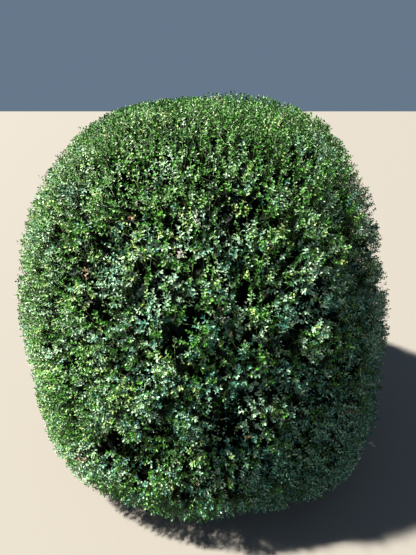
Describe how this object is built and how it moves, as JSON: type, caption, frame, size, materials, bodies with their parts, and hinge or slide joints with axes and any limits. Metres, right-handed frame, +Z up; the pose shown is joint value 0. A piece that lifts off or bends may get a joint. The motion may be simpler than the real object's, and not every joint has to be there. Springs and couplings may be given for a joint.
{
  "type": "box topiary ball",
  "caption": "Evergreen box shrub clipped to a squat rounded dome, rooted in the ground, with a short stem, a leader and boughs that carry its foliage masses.",
  "frame": {"origin": "middle of the flat cut under the main stem, at ground level", "axes": "+Z up, -Y towards the side that the picture shows, +X to its right"},
  "size_m": [1.7096, 1.7145, 1.5742],
  "materials": {
    "bark": "finely fissured grey-brown bark",
    "foliage": "small glossy evergreen leaves"
  },
  "bodies": {
    "root": {"main_stem": "bark", "leader": "bark", "bough_front": "bark", "bough_front_right": "bark", "bough_right": "bark", "bough_back_right": "bark", "bough_back": "bark", "bough_back_left": "bark", "bough_left": "bark", "bough_front_left": "bark", "foliage_front": "foliage", "foliage_front_right": "foliage", "foliage_right": "foliage", "foliage_back_right": "foliage", "foliage_back": "foliage", "foliage_back_left": "foliage", "foliage_left": "foliage", "foliage_front_left": "foliage", "foliage_top": "foliage"}
  },
  "joints": []
}
